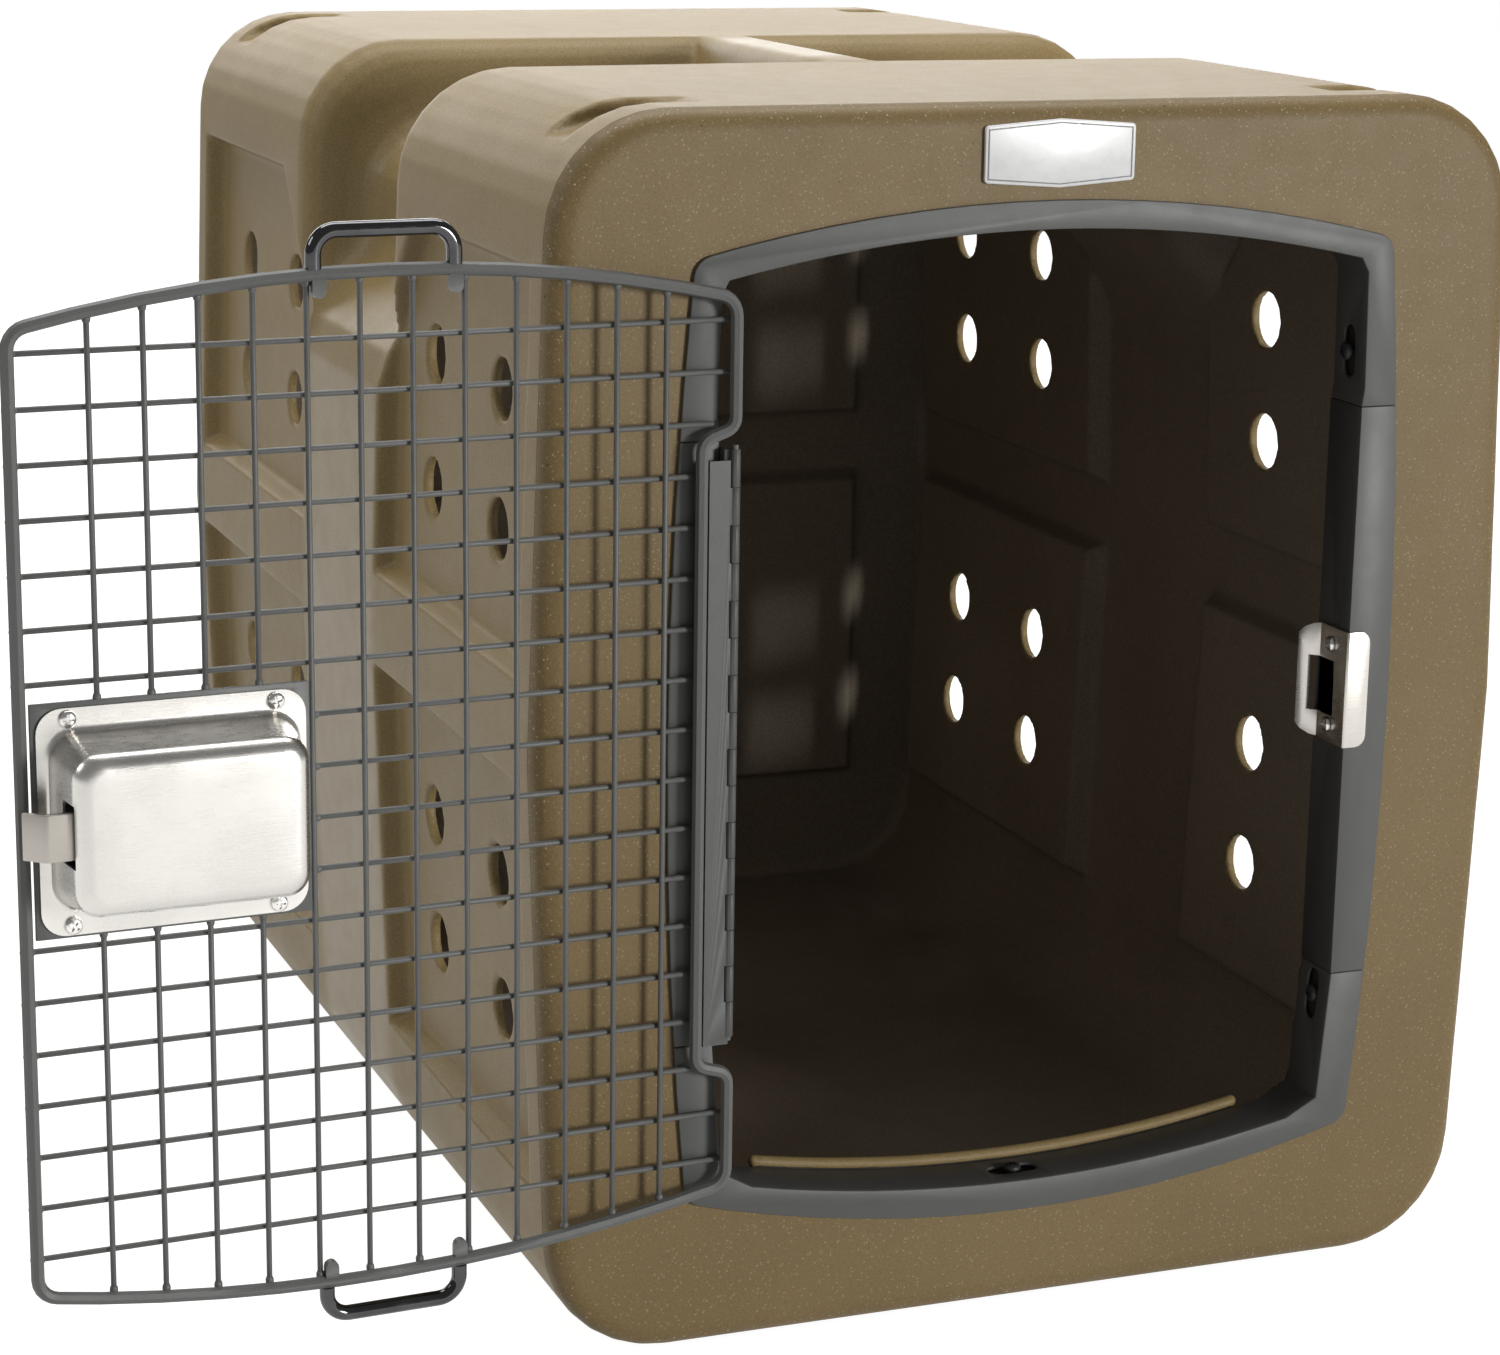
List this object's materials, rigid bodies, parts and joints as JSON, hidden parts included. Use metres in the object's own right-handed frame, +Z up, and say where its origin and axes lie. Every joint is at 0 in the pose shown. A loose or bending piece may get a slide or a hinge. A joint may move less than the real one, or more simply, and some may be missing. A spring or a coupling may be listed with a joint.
{
  "type": "pet transport carrier",
  "caption": "Rigid one-piece pet transport carrier with vented side panels and a framed wire-mesh front door on a piano hinge, closed by a slam latch with a recessed paddle.",
  "frame": {"origin": "centre of the shell's flat base", "axes": "+Z up, +Y from the doorway towards the rear, +X to the right of someone facing the doorway"},
  "size_m": [0.8006, 0.8275, 0.635],
  "materials": {
    "moulded_shell": "fine grained, speckled rotational moulding, satin",
    "frame_coating": "grey powder coat, satin",
    "door_coating": "dark grey powder coat over welded wire, satin",
    "handle_chrome": "black chrome, polished",
    "latch_steel": "pressed and brushed stainless steel",
    "fixing_steel": "bright plated",
    "badge": "satin white with a thin dark border, blank"
  },
  "bodies": {
    "carrier": {"badge_plate": "badge", "frame_head": "frame_coating", "frame_hinge_jamb": "frame_coating", "frame_latch_jamb": "frame_coating", "frame_sill": "frame_coating", "hinge_leaf_fixed": "frame_coating", "hinge_pin": "fixing_steel", "shell": "moulded_shell", "striker_plate": "latch_steel", "striker_screw_high": "fixing_steel", "striker_screw_low": "fixing_steel"},
    "door": {"cover_screw_free_side_high": "fixing_steel", "cover_screw_free_side_low": "fixing_steel", "cover_screw_hinge_side_high": "fixing_steel", "cover_screw_hinge_side_low": "fixing_steel", "door_rim": "door_coating", "hinge_leaf_door": "frame_coating", "latch_backplate": "door_coating", "latch_cover": "latch_steel", "latch_dish": "latch_steel", "lift_handle_low": "handle_chrome", "lift_handle_top": "handle_chrome", "mesh_cross_01": "door_coating", "mesh_cross_02": "door_coating", "mesh_cross_03": "door_coating", "mesh_cross_04": "door_coating", "mesh_cross_05": "door_coating", "mesh_cross_06": "door_coating", "mesh_cross_07": "door_coating", "mesh_cross_08": "door_coating", "mesh_cross_09": "door_coating", "mesh_cross_10": "door_coating", "mesh_cross_11": "door_coating", "mesh_cross_12": "door_coating", "mesh_cross_13": "door_coating", "mesh_cross_14": "door_coating", "mesh_cross_15": "door_coating", "mesh_cross_16": "door_coating", "mesh_cross_17": "door_coating", "mesh_cross_18": "door_coating", "mesh_upright_01": "door_coating", "mesh_upright_02": "door_coating", "mesh_upright_03": "door_coating", "mesh_upright_04": "door_coating", "mesh_upright_05": "door_coating", "mesh_upright_06": "door_coating", "mesh_upright_07": "door_coating", "mesh_upright_08": "door_coating", "mesh_upright_09_high": "door_coating", "mesh_upright_09_low": "door_coating", "mesh_upright_10_high": "door_coating", "mesh_upright_10_low": "door_coating", "mesh_upright_11_high": "door_coating", "mesh_upright_11_low": "door_coating", "mesh_upright_12_high": "door_coating", "mesh_upright_12_low": "door_coating", "paddle_pin": "fixing_steel"},
    "paddle": {"latch_paddle": "latch_steel"},
    "bolt": {"latch_bolt": "latch_steel"}
  },
  "joints": [
    {"name": "door_swing", "type": "hinge", "parent": "carrier", "child": "door", "pos_m": [-0.1725, -0.3905, 0.321], "axis": [0, 0, 1], "range_deg": [0, 176.87]},
    {"name": "paddle_turn", "type": "hinge", "parent": "door", "child": "paddle", "pos_m": [-0.48797, -0.40875, 0.318], "axis": [0, 0, 1], "range_deg": [0, 35], "stiffness_Nm_per_rad": 0.08, "springref_deg": -8.59},
    {"name": "bolt_slide", "type": "slide", "parent": "door", "child": "bolt", "axis": [0.9985, 0.0546, 0], "range_m": [0, 0.0136]}
  ],
  "couplings": [
    {"joint": "bolt_slide", "follows": "paddle_turn", "m_per_rad": 0.0221}
  ]
}
